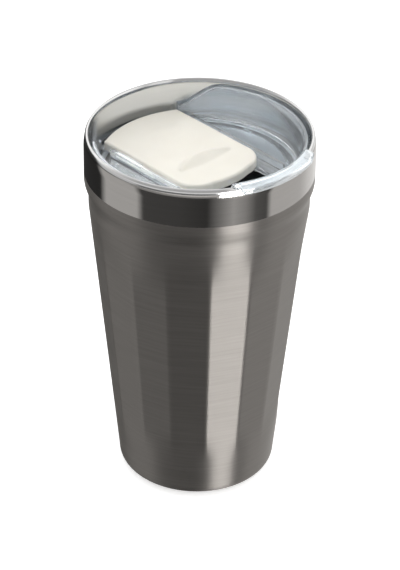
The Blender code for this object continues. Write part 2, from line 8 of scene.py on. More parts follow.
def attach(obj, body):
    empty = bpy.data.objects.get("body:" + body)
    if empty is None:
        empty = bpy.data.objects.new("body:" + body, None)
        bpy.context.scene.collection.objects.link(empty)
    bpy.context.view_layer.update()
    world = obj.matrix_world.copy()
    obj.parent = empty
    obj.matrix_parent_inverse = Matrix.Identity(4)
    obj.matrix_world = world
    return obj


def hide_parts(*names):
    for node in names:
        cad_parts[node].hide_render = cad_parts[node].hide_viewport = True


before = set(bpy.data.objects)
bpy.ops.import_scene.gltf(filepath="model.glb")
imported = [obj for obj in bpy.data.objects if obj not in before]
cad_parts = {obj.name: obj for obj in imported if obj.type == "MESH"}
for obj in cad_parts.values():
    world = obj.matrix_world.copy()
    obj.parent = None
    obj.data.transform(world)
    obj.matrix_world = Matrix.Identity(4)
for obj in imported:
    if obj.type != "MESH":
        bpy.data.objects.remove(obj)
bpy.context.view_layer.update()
print("frame loaded:", len(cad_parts), "solids")

mm = 0.001
weld = 0.0001 * mm   # points closer than this are one


# small helpers

def toLinear(hexColour):
    # the sRGB curve undone, with full alpha
    parts = [int(hexColour[i:i + 2], 16) / 255 for i in (1, 3, 5)]
    return [part / 12.92 if part <= 0.04045 else ((part + 0.055) / 1.055) ** 2.4 for part in parts] + [1.0]


def addNode(tree, kind, settings=None, links=None):
    node = tree.nodes.new(kind)
    for key, value in (settings or {}).items():
        if isinstance(key, str) and hasattr(node, key):
            setattr(node, key, value)
        else:
            node.inputs[key].default_value = value
    for socket, source in (links or {}).items():
        tree.links.new(source, node.inputs[socket])
    return node


def smooth(value):
    value = min(max(value, 0.0), 1.0)
    return value * value * (3.0 - 2.0 * value)


def arc(cx, cy, radius, start, end, count):
    angles = [math.radians(start + (end - start) * i / count) for i in range(count + 1)]
    return [(cx + radius * math.cos(angle), cy + radius * math.sin(angle)) for angle in angles]


def softened(points, rounds):
    # corner cutting on an open outline, so it never grows
    near, far = 0.75, 0.25
    for _ in range(rounds):
        cut = []
        for (ax, ay), (bx, by) in zip(points, points[1:]):
            cut.append((ax * near + bx * far, ay * near + by * far))
            cut.append((ax * far + bx * near, ay * far + by * near))
        points = [points[0]] + cut[1:-1] + [points[-1]]
    return points


def meshObject(name, bm, sharpAngle=40.0):
    bmesh.ops.remove_doubles(bm, verts=bm.verts, dist=weld)
    bmesh.ops.recalc_face_normals(bm, faces=bm.faces)
    mesh = bpy.data.meshes.new(name)
    bm.to_mesh(mesh)
    bm.free()
    mesh.shade_smooth()
    mesh.set_sharp_from_angle(angle=math.radians(sharpAngle))
    obj = bpy.data.objects.new(name, mesh)
    bpy.context.scene.collection.objects.link(obj)
    return obj


def spun(name, section, steps, turn=0.0, sharpAngle=40.0):
    # section is (radius, height), closed into a ring unless it starts on the axis
    bm = bmesh.new()
    start = Matrix.Rotation(turn, 3, "Z")
    verts = [bm.verts.new(start @ Vector((r, 0.0, z))) for r, z in section]
    edges = [bm.edges.new(pair) for pair in zip(verts, verts[1:])]
    if section[0][0] > weld:
        edges.append(bm.edges.new((verts[-1], verts[0])))
    bmesh.ops.spin(bm, geom=verts + edges, cent=(0, 0, 0), axis=(0, 0, 1), angle=math.tau, steps=steps,
                   use_merge=True)
    return meshObject(name, bm, sharpAngle)


def lofted(name, loops, sharpAngle=40.0):
    bm = bmesh.new()
    rows = [[bm.verts.new(point) for point in loop] for loop in loops]
    for row, following in zip(rows, rows[1:]):
        for i in range(len(row)):
            j = (i + 1) % len(row)
            bm.faces.new((row[i], row[j], following[j], following[i]))
    bm.faces.new(rows[0])
    bm.faces.new(rows[-1])
    return meshObject(name, bm, sharpAngle)


def extruded(name, outline, low, high):
    return lofted(name, [[(x, y, z) for x, y in outline] for z in (low, high)])


def combine(target, tool, operation):
    step = target.modifiers.new(tool.name, "BOOLEAN")
    step.operation = operation
    step.solver = "EXACT"
    step.object = tool
    return tool


def settle(obj, tools=(), sharpAngle=40.0):
    # the evaluated result becomes the object's plain mesh
    graph = bpy.context.evaluated_depsgraph_get()
    mesh = bpy.data.meshes.new_from_object(obj.evaluated_get(graph))
    obj.modifiers.clear()
    obj.data = mesh
    for tool in tools:
        bpy.data.objects.remove(tool)
    mesh.shade_smooth()
    mesh.set_sharp_from_angle(angle=math.radians(sharpAngle))
    return obj


def claim(piece, body, node):
    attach(piece, body)
    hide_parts(node)


def dress(piece, material):
    piece.data.materials.clear()
    piece.data.materials.append(material)


# finishes

def newFinish(name):
    material = bpy.data.materials.new(name)
    material.use_nodes = True
    tree = material.node_tree
    return material, tree, tree.nodes["Principled BSDF"]


def setSockets(tree, shader, values, links):
    for socket, value in values.items():
        shader.inputs[socket].default_value = value
    for socket, source in links.items():
        tree.links.new(source, shader.inputs[socket])


def makeBrushedSteel():
    # tinted stainless steel, brushed round the body: long fine lines, and lights drawn out up and down
    look = {"dark": "#736f6c", "light": "#898682", "roughness": 0.44, "spread": 0.05,
            "lineSpacing": 0.9 * mm, "streak": 34 * mm}   # real lines are finer than a pixel
    material, tree, shader = newFinish("brushedStainlessSteel")
    coords = addNode(tree, "ShaderNodeTexCoord").outputs["Object"]
    density = (1 / look["streak"], 1 / look["streak"], 1 / look["lineSpacing"])
    squash = addNode(tree, "ShaderNodeMapping", {"Scale": density}, {"Vector": coords})
    lines = addNode(tree, "ShaderNodeTexNoise", {"Scale": 1.0, "Detail": 3.0, "Roughness": 0.65},
                    {"Vector": squash.outputs[0]}).outputs["Fac"]
    tint = addNode(tree, "ShaderNodeMix",
                   {"data_type": "RGBA", 6: toLinear(look["dark"]), 7: toLinear(look["light"])}, {0: lines})
    limits = {"To Min": look["roughness"] - look["spread"], "To Max": look["roughness"] + look["spread"]}
    rough = addNode(tree, "ShaderNodeMapRange", limits, {"Value": lines})
    bump = addNode(tree, "ShaderNodeBump", {"Strength": 0.10, "Distance": 0.05 * mm}, {"Height": lines})
    split = addNode(tree, "ShaderNodeSeparateXYZ", None, {0: coords})
    back = addNode(tree, "ShaderNodeMath", {"operation": "MULTIPLY", 1: -1.0}, {0: split.outputs[1]})
    around = addNode(tree, "ShaderNodeCombineXYZ", None, {0: back.outputs[0], 1: split.outputs[0]})
    setSockets(tree, shader, {"Metallic": 1.0, "Anisotropic": 0.95, "Anisotropic Rotation": 0.25},
               {"Base Color": tint.outputs[2], "Roughness": rough.outputs[0], "Normal": bump.outputs[0],
                "Tangent": around.outputs[0]})
    return material


def makeBuffedSteel(name, dark, light, roughness):
    # buffed stainless steel: a mirror with a trace of the buffing lines
    look = {"streak": 40 * mm, "lineSpacing": 1.4 * mm, "smoothest": 0.7, "roughest": 1.4}
    material, tree, shader = newFinish(name)
    coords = addNode(tree, "ShaderNodeTexCoord").outputs["Object"]
    density = (1 / look["streak"], 1 / look["streak"], 1 / look["lineSpacing"])
    squash = addNode(tree, "ShaderNodeMapping", {"Scale": density}, {"Vector": coords})
    lines = addNode(tree, "ShaderNodeTexNoise", {"Scale": 1.0, "Detail": 3.0, "Roughness": 0.65},
                    {"Vector": squash.outputs[0]}).outputs["Fac"]
    tint = addNode(tree, "ShaderNodeMix",
                   {"data_type": "RGBA", 6: toLinear(dark), 7: toLinear(light)}, {0: lines})
    limits = {"To Min": roughness * look["smoothest"], "To Max": roughness * look["roughest"]}
    rough = addNode(tree, "ShaderNodeMapRange", limits, {"Value": lines})
    bump = addNode(tree, "ShaderNodeBump", {"Strength": 0.03, "Distance": 0.03 * mm}, {"Height": lines})
    setSockets(tree, shader, {"Metallic": 1.0},
               {"Base Color": tint.outputs[2], "Roughness": rough.outputs[0], "Normal": bump.outputs[0]})
    return material


def makeClearPlastic():
    # moulded copolyester: clear with a faint cool haze and a slight flow ripple
    look = {"shade": "#eef5fa", "light": "#fafdff", "flow": 9 * mm}
    material, tree, shader = newFinish("clearCopolyester")
    coords = addNode(tree, "ShaderNodeTexCoord").outputs["Object"]
    flow = addNode(tree, "ShaderNodeTexNoise", {"Scale": 1 / look["flow"], "Detail": 2.0},
                   {"Vector": coords}).outputs["Fac"]
    tint = addNode(tree, "ShaderNodeMix",
                   {"data_type": "RGBA", 6: toLinear(look["shade"]), 7: toLinear(look["light"])}, {0: flow})
    rough = addNode(tree, "ShaderNodeMapRange", {"To Min": 0.03, "To Max": 0.07}, {"Value": flow})
    bump = addNode(tree, "ShaderNodeBump", {"Strength": 0.06, "Distance": 0.15 * mm}, {"Height": flow})
    setSockets(tree, shader, {"IOR": 1.54, "Transmission Weight": 0.92},
               {"Base Color": tint.outputs[2], "Roughness": rough.outputs[0], "Normal": bump.outputs[0]})
    return material


def makeSilicone():
    # moulded silicone: milky, with a soft sheen and a fine matt grain
    look = {"shade": "#e0e5e8", "light": "#eef1f3", "grain": 0.8 * mm}
    material, tree, shader = newFinish("milkySilicone")
    coords = addNode(tree, "ShaderNodeTexCoord").outputs["Object"]
    grain = addNode(tree, "ShaderNodeTexNoise", {"Scale": 1 / look["grain"], "Detail": 2.0},
                    {"Vector": coords}).outputs["Fac"]
    tint = addNode(tree, "ShaderNodeMix",
                   {"data_type": "RGBA", 6: toLinear(look["shade"]), 7: toLinear(look["light"])}, {0: grain})
    bump = addNode(tree, "ShaderNodeBump", {"Strength": 0.15, "Distance": 0.05 * mm}, {"Height": grain})
    setSockets(tree, shader, {"Roughness": 0.42, "IOR": 1.42, "Transmission Weight": 0.25},
               {"Base Color": tint.outputs[2], "Normal": bump.outputs[0]})
    return material


def makeCreamPlastic():
    # moulded polypropylene with a spark-eroded satin skin: broad soft highlight and a fine grain
    look = {"shade": "#e9e5da", "light": "#f3f0e7", "grain": 0.45 * mm, "cloud": 14 * mm}
    material, tree, shader = newFinish("creamPolypropylene")
    coords = addNode(tree, "ShaderNodeTexCoord").outputs["Object"]
    grain = addNode(tree, "ShaderNodeTexNoise", {"Scale": 1 / look["grain"], "Detail": 2.0},
                    {"Vector": coords}).outputs["Fac"]
    cloud = addNode(tree, "ShaderNodeTexNoise", {"Scale": 1 / look["cloud"], "Detail": 1.0},
                    {"Vector": coords}).outputs["Fac"]
    tint = addNode(tree, "ShaderNodeMix",
                   {"data_type": "RGBA", 6: toLinear(look["shade"]), 7: toLinear(look["light"])}, {0: cloud})
    rough = addNode(tree, "ShaderNodeMapRange", {"To Min": 0.40, "To Max": 0.52}, {"Value": grain})
    bump = addNode(tree, "ShaderNodeBump", {"Strength": 0.08, "Distance": 0.04 * mm}, {"Height": grain})
    setSockets(tree, shader, {"IOR": 1.49, "Subsurface Weight": 0.12, "Subsurface Scale": 1.2 * mm,
                              "Subsurface Radius": (1.0, 0.9, 0.7)},
               {"Base Color": tint.outputs[2], "Roughness": rough.outputs[0], "Normal": bump.outputs[0]})
    return material


def makeGrained(name, look):
    # a plain finish with a grain of the given size
    material, tree, shader = newFinish(name)
    coords = addNode(tree, "ShaderNodeTexCoord").outputs["Object"]
    grain = addNode(tree, "ShaderNodeTexNoise", {"Scale": 1 / look["grain"], "Detail": 4.0},
                    {"Vector": coords}).outputs["Fac"]
    tint = addNode(tree, "ShaderNodeMix",
                   {"data_type": "RGBA", 6: toLinear(look["dark"]), 7: toLinear(look["light"])}, {0: grain})
    bump = addNode(tree, "ShaderNodeBump", {"Strength": look["bump"], "Distance": 0.1 * mm},
                   {"Height": grain})
    setSockets(tree, shader, {"Metallic": look["metallic"], "Roughness": look["roughness"]},
               {"Base Color": tint.outputs[2], "Normal": bump.outputs[0]})
    return material


brushedSteel = makeBrushedSteel()
collarSteel = makeBuffedSteel("buffedCollarSteel", "#aaa7a4", "#b4b1ae", 0.07)
linerSteel = makeBuffedSteel("drawnLinerSteel", "#dcdee1", "#e8eaec", 0.16)
# buffed rim steel, smoother than the liner's; its darker colour is painted shade, a dark streak along the top
# of the mouth
rimSteelWithPaintedShade = makeBuffedSteel("buffedRimSteelWithPaintedShade", "#c2c2c2", "#cecece", 0.12)
clearPlastic = makeClearPlastic()
silicone = makeSilicone()
creamPlastic = makeCreamPlastic()
# bead-blasted steel: an even satin grey
baseSteel = makeGrained("blastedBaseSteel", {"dark": "#6c6965", "light": "#7d7a76", "grain": 0.5 * mm,
                                             "metallic": 1.0, "roughness": 0.42, "bump": 0.15})
# rolled foil: bright copper, slightly creased
copperFoil = makeGrained("rolledCopperFoil", {"dark": "#b9694a", "light": "#cf8463", "grain": 6 * mm,
                                              "metallic": 1.0, "roughness": 0.28, "bump": 0.35})
# pressed metal powder: dull, with a coarse grain
getterAlloy = makeGrained("pressedGetterPowder", {"dark": "#5c5c5e", "light": "#77777a", "grain": 0.4 * mm,
                                                  "metallic": 0.8, "roughness": 0.6, "bump": 0.5})
# fused glass: dark and glossy
solderGlass = makeGrained("solderGlass", {"dark": "#26272b", "light": "#33343a", "grain": 1.5 * mm,
                                          "metallic": 0.0, "roughness": 0.2, "bump": 0.1})
print("finishes made")


# outer shell: a round profile is spun, then nodes press the flat facets into it

vessel = {
    "rimHeight": 150 * mm, "rimRadius": 44.5 * mm, "beadHeight": 1.8 * mm, "sheet": 0.6 * mm, "gap": 0.3 * mm,
    "rollHeight": 3.2 * mm, "rollInset": 0.36 * mm, "rollSteps": 8,
    "collarHeight": 17 * mm, "polishedHeight": 15.7 * mm, "polishedMargin": 0.05 * mm,
    "shoulderDrop": 13.5 * mm, "shoulderInset": 1.7 * mm, "shoulderSteps": 12,
    "stepStart": 0.15, "stepShare": 0.5, "stepSharp": 0.95,   # shares of the shoulder
    "wallSteps": 41, "baseRadius": 31.2 * mm, "baseFillet": 5 * mm, "baseTurn": 80.0, "filletSteps": 12,
    "facets": 16, "stepsPerFacet": 12, "facetTurn": math.radians(7.7),
    "facetTop": 122.3 * mm, "facetFull": 95 * mm, "facetFoot": 17 * mm, "facetFootFull": 34 * mm,
}
rim, rimRadius, gap, sheet = vessel["rimHeight"], vessel["rimRadius"], vessel["gap"], vessel["sheet"]
polishedFrom = rim - vessel["polishedHeight"]


def shellProfile():
    top = rim - vessel["beadHeight"] - gap
    foot = rim - vessel["collarHeight"]
    low = foot - vessel["shoulderDrop"]
    bodyTop = rimRadius - vessel["shoulderInset"]
    outer = []
    for i in range(vessel["rollSteps"] + 1):   # the collar rolls in a little under the rim
        rise = 1 - i / vessel["rollSteps"]
        outer.append((rimRadius - vessel["rollInset"] * rise ** 2, top - vessel["rollHeight"] * (1 - rise)))
    outer.append((rimRadius, polishedFrom))
    for i in range(vessel["shoulderSteps"] + 1):   # a clear step, and a slight slope beside it
        share = i / vessel["shoulderSteps"]
        step = smooth((share - vessel["stepStart"]) / vessel["stepShare"])
        inset = vessel["shoulderInset"] * (vessel["stepSharp"] * step + (1 - vessel["stepSharp"]) * share)
        outer.append((rimRadius - inset, foot - vessel["shoulderDrop"] * share))
    fillet = vessel["baseFillet"]
    for i in range(1, vessel["wallSteps"]):
        share = i / vessel["wallSteps"]
        outer.append((bodyTop + (vessel["baseRadius"] - bodyTop) * share, low + (fillet - low) * share))
    outer += arc(vessel["baseRadius"] - fillet, fillet, fillet, 0.0, -vessel["baseTurn"],
                 vessel["filletSteps"])
    inner = []
    for i, (r, z) in enumerate(outer):
        before, after = outer[max(i - 1, 0)], outer[min(i + 1, len(outer) - 1)]
        run = (after[0] - before[0], after[1] - before[1])
        length = math.hypot(*run)
        inner.append((r + sheet * run[1] / length, z - sheet * run[0] / length))
    return outer + inner[::-1]


def facetTree():
    # each point moves in from the circle to its facet's chord, fading out at the shoulder and the base
    tree = bpy.data.node_groups.new("pressFacets", "GeometryNodeTree")
    sockets = {"Geometry": "NodeSocketGeometry", "Facets": "NodeSocketFloat", "Turn": "NodeSocketFloat",
               "Top": "NodeSocketFloat", "Full": "NodeSocketFloat", "Foot": "NodeSocketFloat",
               "Foot full": "NodeSocketFloat", "Polished from": "NodeSocketFloat",
               "Brushed": "NodeSocketMaterial", "Polished": "NodeSocketMaterial"}
    ids = {}
    for name, kind in sockets.items():
        ids[name] = tree.interface.new_socket(name=name, in_out="INPUT", socket_type=kind).identifier
    tree.interface.new_socket(name="Geometry", in_out="OUTPUT", socket_type="NodeSocketGeometry")
    given = addNode(tree, "NodeGroupInput").outputs
    here = addNode(tree, "GeometryNodeInputPosition").outputs[0]
    place = addNode(tree, "ShaderNodeSeparateXYZ", None, {0: here}).outputs
    pitch = addNode(tree, "ShaderNodeMath", {"operation": "DIVIDE", 0: math.tau},
                    {1: given["Facets"]}).outputs[0]
    half = addNode(tree, "ShaderNodeMath", {"operation": "MULTIPLY", 1: 0.5}, {0: pitch}).outputs[0]
    angle = addNode(tree, "ShaderNodeMath", {"operation": "ARCTAN2"}, {0: place[1], 1: place[0]}).outputs[0]
    turned = addNode(tree, "ShaderNodeMath", {"operation": "SUBTRACT"},
                     {0: angle, 1: given["Turn"]}).outputs[0]
    inFacet = addNode(tree, "ShaderNodeMath", {"operation": "FLOORED_MODULO"},
                      {0: turned, 1: pitch}).outputs[0]
    local = addNode(tree, "ShaderNodeMath", {"operation": "SUBTRACT"}, {0: inFacet, 1: half}).outputs[0]
    halfCos = addNode(tree, "ShaderNodeMath", {"operation": "COSINE"}, {0: half}).outputs[0]
    localCos = addNode(tree, "ShaderNodeMath", {"operation": "COSINE"}, {0: local}).outputs[0]
    chord = addNode(tree, "ShaderNodeMath", {"operation": "DIVIDE"}, {0: halfCos, 1: localCos}).outputs[0]
    topRun = {"Value": place[2], "From Min": given["Top"], "From Max": given["Full"]}
    topFade = addNode(tree, "ShaderNodeMapRange", {"interpolation_type": "SMOOTHSTEP"}, topRun).outputs[0]
    footRun = {"Value": place[2], "From Min": given["Foot"], "From Max": given["Foot full"]}
    footFade = addNode(tree, "ShaderNodeMapRange", {"interpolation_type": "SMOOTHSTEP"}, footRun).outputs[0]
    weight = addNode(tree, "ShaderNodeMath", {"operation": "MULTIPLY"}, {0: topFade, 1: footFade}).outputs[0]
    share = addNode(tree, "ShaderNodeMix", {"data_type": "FLOAT", 2: 1.0}, {0: weight, 3: chord}).outputs[0]
    flat = addNode(tree, "ShaderNodeCombineXYZ", {2: 1.0}, {0: share, 1: share}).outputs[0]
    pressed = addNode(tree, "ShaderNodeVectorMath", {"operation": "MULTIPLY"}, {0: here, 1: flat}).outputs[0]
    moved = addNode(tree, "GeometryNodeSetPosition", None,
                    {"Geometry": given["Geometry"], "Position": pressed})
    real = addNode(tree, "GeometryNodeRealizeInstances", None, {0: moved.outputs[0]})
    brushed = addNode(tree, "GeometryNodeSetMaterial", None,
                      {"Geometry": real.outputs[0], "Material": given["Brushed"]})
    above = addNode(tree, "ShaderNodeMath", {"operation": "GREATER_THAN"},
                    {0: place[2], 1: given["Polished from"]})
    polished = addNode(tree, "GeometryNodeSetMaterial", None,
                       {"Geometry": brushed.outputs[0], "Selection": above.outputs[0],
                        "Material": given["Polished"]})
    addNode(tree, "NodeGroupOutput", None, {0: polished.outputs[0]})
    return tree, ids


shell = spun("facetedShell", shellProfile(), vessel["facets"] * vessel["stepsPerFacet"],
             vessel["facetTurn"])
facets, facetIds = facetTree()
press = shell.modifiers.new("pressFacets", "NODES")
press.node_group = facets
pressSettings = {"Facets": float(vessel["facets"]), "Turn": vessel["facetTurn"],
                 "Top": vessel["facetTop"], "Full": vessel["facetFull"],
                 "Foot": vessel["facetFoot"], "Foot full": vessel["facetFootFull"],
                 "Polished from": polishedFrom + vessel["polishedMargin"],
                 "Brushed": brushedSteel, "Polished": collarSteel}
for name, value in pressSettings.items():
    press[facetIds[name]] = value
settle(shell)
claim(shell, "tumbler", "outer_shell")
print("shell pressed:", len(shell.data.polygons), "faces")


# steel liner with the rolled rim, and the base

liner = {
    "mouthRadius": 42.2 * mm, "seatRadius": 40.6 * mm, "seatDrop": 25 * mm, "floorRadius": 29.2 * mm,
    "floorHeight": 9 * mm, "fillet": 6 * mm, "filletSteps": 10, "steps": 144,
    "crownInset": 1.35 * mm, "crownWide": 1.0 * mm, "crownTall": 2.4 * mm, "crownSteps": 12,
    "mouthRound": 3.2 * mm, "mouthSteps": 8,
}
seat = rim - liner["seatDrop"]
linerFoot = liner["floorHeight"] + liner["fillet"]


def linerRadius(z):
    if z >= seat:
        share = (z - seat) / liner["seatDrop"]
        return liner["seatRadius"] + share * (liner["mouthRadius"] - liner["seatRadius"])
    share = (z - linerFoot) / (seat - linerFoot)
    return liner["floorRadius"] + share * (liner["seatRadius"] - liner["floorRadius"])


def linerProfile():
    beadFoot = rim - vessel["beadHeight"]
    crown = rimRadius - liner["crownInset"]
    middle = liner["floorRadius"] - liner["fillet"]
    section = [(0.0, liner["floorHeight"])]
    section += arc(middle, linerFoot, liner["fillet"], -90.0, 0.0, liner["filletSteps"])
    section += [(liner["seatRadius"], seat)]
    for x, y in arc(0.0, 0.0, 1.0, 180.0, 90.0, liner["mouthSteps"]):   # inside of the rolled rim
        section.append((crown + x * (crown - liner["mouthRadius"]), rim - liner["mouthRound"] * (1 - y)))
    lowest = math.degrees(math.asin(1 - vessel["beadHeight"] / liner["crownTall"]))
    # and its outside, which runs on from the collar
    for x, y in arc(0.0, 0.0, 1.0, 90.0, lowest, liner["crownSteps"])[1:]:
        section.append((crown + x * liner["crownWide"], rim - liner["crownTall"] * (1 - y)))
    section += [(linerRadius(beadFoot) + sheet, beadFoot), (liner["seatRadius"] + sheet, seat)]
    section += arc(middle, linerFoot, liner["fillet"] + sheet, 0.0, -90.0, liner["filletSteps"])
    return section + [(0.0, liner["floorHeight"] - sheet)]


steelLiner = spun("rolledRimLiner", linerProfile(), liner["steps"])
dress(steelLiner, linerSteel)
steelLiner.data.materials.append(rimSteelWithPaintedShade)
# the faces above the bead's foot, the top of the inner curl too, take the darker rim steel: painted shade
# along the mouth
for face in steelLiner.data.polygons:
    face.material_index = int(face.center.z > rim - vessel["beadHeight"])
claim(steelLiner, "tumbler", "inner_liner")

base = {"footInset": 0.12 * mm, "footWidth": 5 * mm, "footDepth": 1.6 * mm,
        "portRadius": 0.9 * mm, "cupRadius": 4 * mm, "cupDepth": 1.4 * mm,
        "coverSheet": 0.6 * mm, "coverEdge": 0.18 * mm, "steps": 144}
edgeTuck = vessel["baseFillet"] * (1 - math.cos(math.radians(vessel["baseTurn"])))
footOuter = vessel["baseRadius"] - base["footInset"] - edgeTuck


def baseProfile():
    inner = footOuter - base["footWidth"]
    rise = base["footDepth"]
    edge = footOuter - gap
    cup, cupTop = base["cupRadius"], rise + base["cupDepth"]
    under = [(base["portRadius"], cupTop), (cup - base["cupDepth"], cupTop), (cup, rise),
             (inner - rise, rise), (inner, 0.0)]
    over = [(r, z + sheet) for r, z in under]
    return under + [(edge - sheet, 0.0), (edge, sheet), (edge - sheet, sheet * 2)] + over[::-1]


def coverProfile():
    top = base["footDepth"] - gap
    low = top - base["coverSheet"]
    radius = footOuter - base["footWidth"] - base["footDepth"] - gap
    return [(0.0, top), (radius, top), (radius, low + base["coverEdge"]), (radius - base["coverEdge"], low),
            (0.0, low)]


baseCap = spun("footRing", baseProfile(), base["steps"])
dress(baseCap, baseSteel)
claim(baseCap, "tumbler", "base_cap")
baseCover = spun("baseCoverDisc", coverProfile(), base["steps"])
dress(baseCover, baseSteel)
claim(baseCover, "tumbler", "base_cover_disc")
print("liner and base made")


# clear lid and the cover that slides on it: each dictionary first, then the sizes that follow from both

lid = {
    "floorDrop": 15 * mm, "floor": 2 * mm, "clearance": 0.5 * mm, "soft": 0.3 * mm, "rootSoft": 0.9 * mm,
    "join": 0.15 * mm, "cutMargin": 2 * mm, "steps": 144,
    "skirtDepth": 9.5 * mm, "skirtWall": 2.5 * mm, "grooveDepth": 3 * mm, "flange": 1.8 * mm,
    "wall": 1.7 * mm, "wallStartHeight": 4.8 * mm, "wallDrop": 2.2 * mm, "wallSteps": 72,
    "wallStart": math.radians(31.0), "wallFull": math.radians(55.0), "wallEndShare": 0.75,
    "wallFillet": 2.6 * mm, "filletLeast": 0.3, "filletSteps": 8, "crownShare": 0.4, "crownBevel": 0.3,
    "lipHalf": math.radians(26.5), "lipEnd": math.radians(4.8), "lipSteps": 40,
    "lipEndSteps": 16, "lipEndCrowd": 1.6,   # the turns crowd towards the lip's ends
    "lipFootInset": 9.2 * mm, "lipCrestInset": 3.9 * mm, "lipRise": 1.7 * mm, "lipOver": 1.6 * mm,
    "lipHook": 2.4 * mm, "lipWall": 1.0 * mm, "beadWidth": 2.3 * mm,
    "railWidth": 2 * mm, "railStep": 0.8 * mm, "railStepPlace": 11 * mm, "railBackInset": 4 * mm,
    "railEndSteps": 12, "tongueSlot": 1.2 * mm, "tongueSlotHeight": 1.6 * mm, "tongueSlotLift": 0.8 * mm,
    "portHalf": 16 * mm, "portLength": 15.5 * mm, "portFrontInset": 2.7 * mm, "portSteps": 32,
    "portCorner": 1.5 * mm, "cornerSteps": 6,
}
cover = {
    "half": 19.3 * mm, "thickness": 3.7 * mm, "edge": 1.0 * mm, "travel": 12 * mm,
    "backInset": 2.1 * mm, "frontSpace": 0.7 * mm, "backCorner": 1.4 * mm, "frontCorner": 10 * mm,
    "across": 96, "along": 128,   # the grid of the top
    "probe": 0.05 * mm, "steepest": 50.0, "backLean": 0.9,   # how far a point is from the slanting edges
    "scoopY": 12.5 * mm, "scoopRadius": 11.5 * mm, "scoopDepth": 1.3 * mm, "scoopReach": 1.25,
    "ridgeHalf": 13.2 * mm, "ridgeBack": 0.4 * mm, "ridgeBow": 4.2 * mm, "ridgeDepth": 6.2 * mm,
    "ridgeHeight": 1.9 * mm, "ridgeRise": 2.8 * mm, "tongueInset": 3.2 * mm, "tongueLength": 22 * mm,
    "pad": 1.4 * mm, "padEdge": 1.0 * mm, "padMargin": 1.6 * mm, "padSteps": 24,
}
floorTop = rim - lid["floorDrop"]
floorLow = floorTop - lid["floor"]
floorMiddle = floorTop - lid["floor"] / 2
skirtLow = floorLow - lid["skirtDepth"]
wallTop = rim - lid["wallDrop"]
floorRadius = linerRadius(floorTop) - lid["clearance"]
lipFoot = floorRadius - lid["lipFootInset"]
lipCrest = rimRadius - lid["lipCrestInset"]
portFront = lipFoot - lid["portFrontInset"]
portBack = portFront - lid["portLength"]
coverLow = floorTop + gap
coverTop = coverLow + cover["thickness"]
coverBack = floorRadius - cover["backInset"]
coverFront = lipFoot - cover["travel"] - cover["frontSpace"]
railInner = cover["half"] + gap
railOuter = railInner + lid["railWidth"]
railTop = coverTop - lid["tongueSlotLift"]
railBack = math.sqrt(coverBack ** 2 - railOuter ** 2) - lid["railBackInset"]
slotLow = floorTop + lid["tongueSlotLift"]
slotHigh = slotLow + lid["tongueSlotHeight"]
tongueBack = railBack - cover["tongueInset"]
grooveLow, grooveHigh = skirtLow + lid["flange"], floorLow - lid["flange"]


def lidRadius(z):
    return linerRadius(z) - lid["clearance"]


def polar(r, angle, z):
    return (r * math.sin(angle), r * math.cos(angle), z)


def plugProfile():
    groove = lidRadius(grooveLow) - lid["grooveDepth"]
    inner = groove - lid["skirtWall"]
    skirt = lidRadius(skirtLow) - lid["clearance"]
    soft = lid["soft"]
    return [(0.0, floorTop), (floorRadius - soft, floorTop), (floorRadius, floorTop - soft),
            (lidRadius(grooveHigh), grooveHigh), (groove, grooveHigh), (groove, grooveLow),
            (lidRadius(grooveLow) - lid["clearance"], grooveLow), (skirt, skirtLow + soft),
            (skirt - soft, skirtLow), (inner + soft, skirtLow), (inner, skirtLow + soft),
            (inner, floorLow - lid["rootSoft"]), (inner - lid["rootSoft"], floorLow), (0.0, floorLow)]


def wallLoop(angle):
    share = smooth((abs(angle) - lid["wallStart"]) / (lid["wallFull"] - lid["wallStart"]))
    lowTop = floorTop + lid["wallStartHeight"]
    top = lowTop + share * (wallTop - lowTop)
    fillet = lid["wallFillet"] * (lid["filletLeast"] + (1 - lid["filletLeast"]) * share)
    foot = floorRadius - lid["wall"]
    crown = lid["crownShare"] * (lid["wall"] - 2 * lid["join"])
    bevel = crown * lid["crownBevel"]
    outerTop, innerTop = lidRadius(top) - 2 * lid["join"], lidRadius(top) - lid["wall"]
    loop = [(lidRadius(floorMiddle) - 2 * lid["join"], floorMiddle), (outerTop, top - crown),
            (outerTop - bevel, top - bevel), (outerTop - crown, top), (innerTop + crown, top),
            (innerTop + bevel, top - bevel), (innerTop, top - crown)]
    loop += arc(foot - fillet, floorTop + fillet + lid["join"], fillet, 0.0, -90.0, lid["filletSteps"])
    loop.append((foot - fillet, floorMiddle))
    return [polar(r, angle, z) for r, z in loop]


# the lip's form, in shares of its ends, width, rise, wall and hook and of the rim's bead
lipSection = {
    "drawEnd": 0.5, "hookStart": 1 / 3,   # along each end: where it is drawn out, and where the hook starts
    "endRise": 0.6, "inside": 0.4, "rounds": 2,
    "top": [(0.22, 0.8), (0.45, 0.0), (0.66, 0.0), (0.92, 0.6)],   # out from the crest, down from the top
    "side": (0.35, 0.3), "sideFoot": (0.12, 0.85),   # up from the rim without the hook, down with it
    "tip": 0.08, "under": (0.14, 0.20, 0.30, 0.42), "beadEdge": 0.3,   # in from the edge
}


